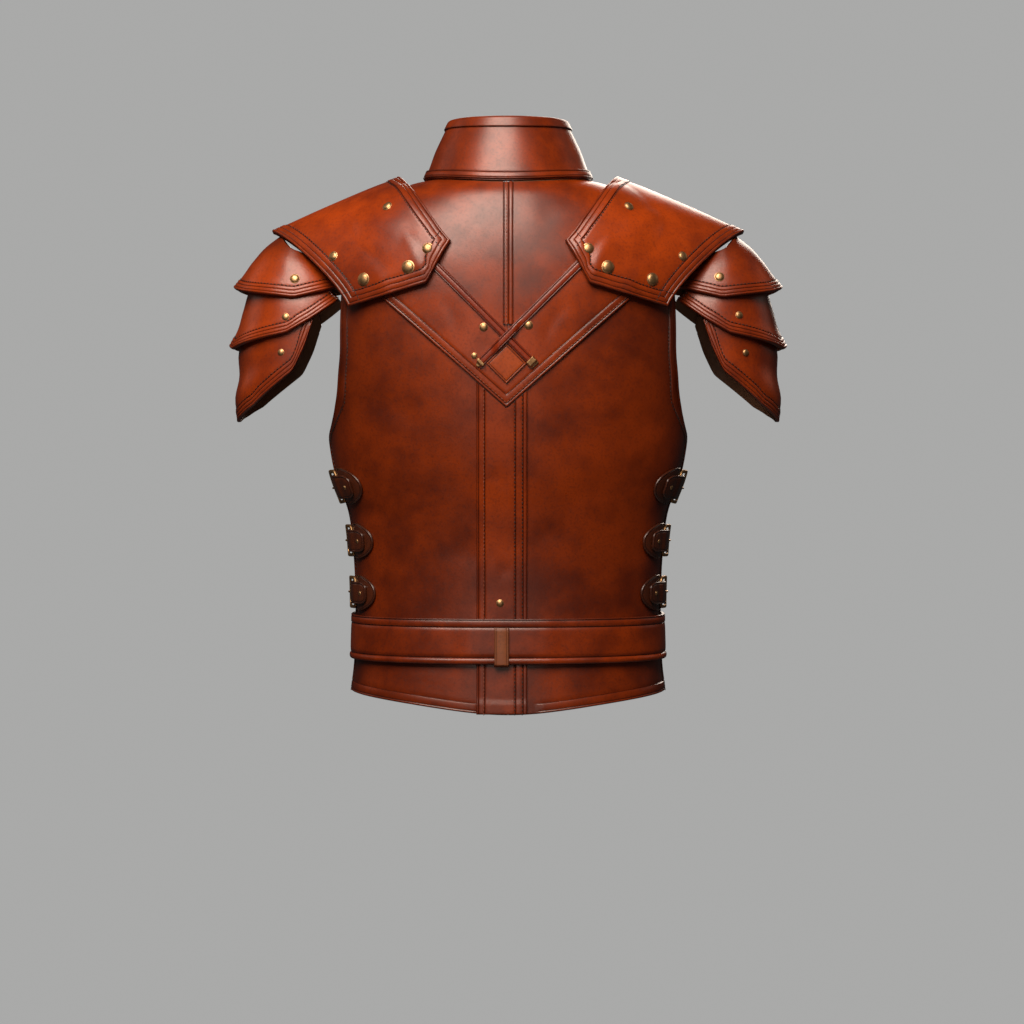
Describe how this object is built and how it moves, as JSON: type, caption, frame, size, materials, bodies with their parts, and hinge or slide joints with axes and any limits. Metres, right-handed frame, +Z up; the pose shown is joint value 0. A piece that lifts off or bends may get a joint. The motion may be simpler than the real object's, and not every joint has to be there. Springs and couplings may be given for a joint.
{
  "type": "leather armour vest",
  "caption": "Hollow leather armour vest as worn, with stand collar, crossed back yoke, shoulder plates with hanging lames, waist belt and buckled side straps.",
  "frame": {"origin": "middle of the neck opening at the height of the nape's collar seam, where the wearer's shoulders carry the vest", "axes": "+Z up, -Y to the front of the wearer, +Y to the back, +X to the wearer's left"},
  "size_m": [0.5806, 0.235, 0.6042],
  "materials": {
    "body_leather": "smooth veg-tanned mahogany leather, waxed, soft sheen, darker burnished edges",
    "plate_leather": "thicker smooth mahogany leather, waxed and rubbed, with tooled and stitched borders",
    "welt_leather": "narrow folded leather welt, darker than the panels",
    "light_leather": "lighter orange-brown smooth leather",
    "dark_leather": "dark brown oiled strap leather",
    "antique_brass": "aged brass, satin, darker in the recesses"
  },
  "bodies": {
    "root": {"back_panel_left": "body_leather", "back_panel_right": "body_leather", "front_panel_left": "body_leather", "front_panel_right": "body_leather", "collar": "body_leather", "collar_seam_band": "body_leather", "collar_binding": "body_leather", "back_centre_strip": "body_leather", "back_seam_strip": "body_leather", "front_seam_strip": "body_leather", "back_yoke": "body_leather", "waist_belt": "body_leather", "shoulder_plate_left": "plate_leather", "shoulder_plate_right": "plate_leather", "lame_1_left": "plate_leather", "lame_1_right": "plate_leather", "lame_2_left": "plate_leather", "lame_2_right": "plate_leather", "lame_3_left": "plate_leather", "lame_3_right": "plate_leather", "yoke_welt_left": "welt_leather", "yoke_welt_right": "welt_leather", "yoke_diamond": "light_leather", "belt_keeper": "light_leather", "side_tab_1_left": "dark_leather", "side_tab_1_right": "dark_leather", "side_tab_2_left": "dark_leather", "side_tab_2_right": "dark_leather", "side_tab_3_left": "dark_leather", "side_tab_3_right": "dark_leather", "side_strap_1_left": "dark_leather", "side_strap_1_right": "dark_leather", "side_strap_2_left": "dark_leather", "side_strap_2_right": "dark_leather", "side_strap_3_left": "dark_leather", "side_strap_3_right": "dark_leather", "belt_tip": "dark_leather", "side_buckle_1_left": "antique_brass", "side_buckle_1_right": "antique_brass", "side_buckle_2_left": "antique_brass", "side_buckle_2_right": "antique_brass", "side_buckle_3_left": "antique_brass", "side_buckle_3_right": "antique_brass", "belt_buckle": "antique_brass", "plate_stud_1_left": "antique_brass", "plate_stud_1_right": "antique_brass", "plate_stud_2_left": "antique_brass", "plate_stud_2_right": "antique_brass", "plate_stud_3_left": "antique_brass", "plate_stud_3_right": "antique_brass", "plate_stud_4_left": "antique_brass", "plate_stud_4_right": "antique_brass", "plate_stud_5_left": "antique_brass", "plate_stud_5_right": "antique_brass"}
  },
  "joints": []
}
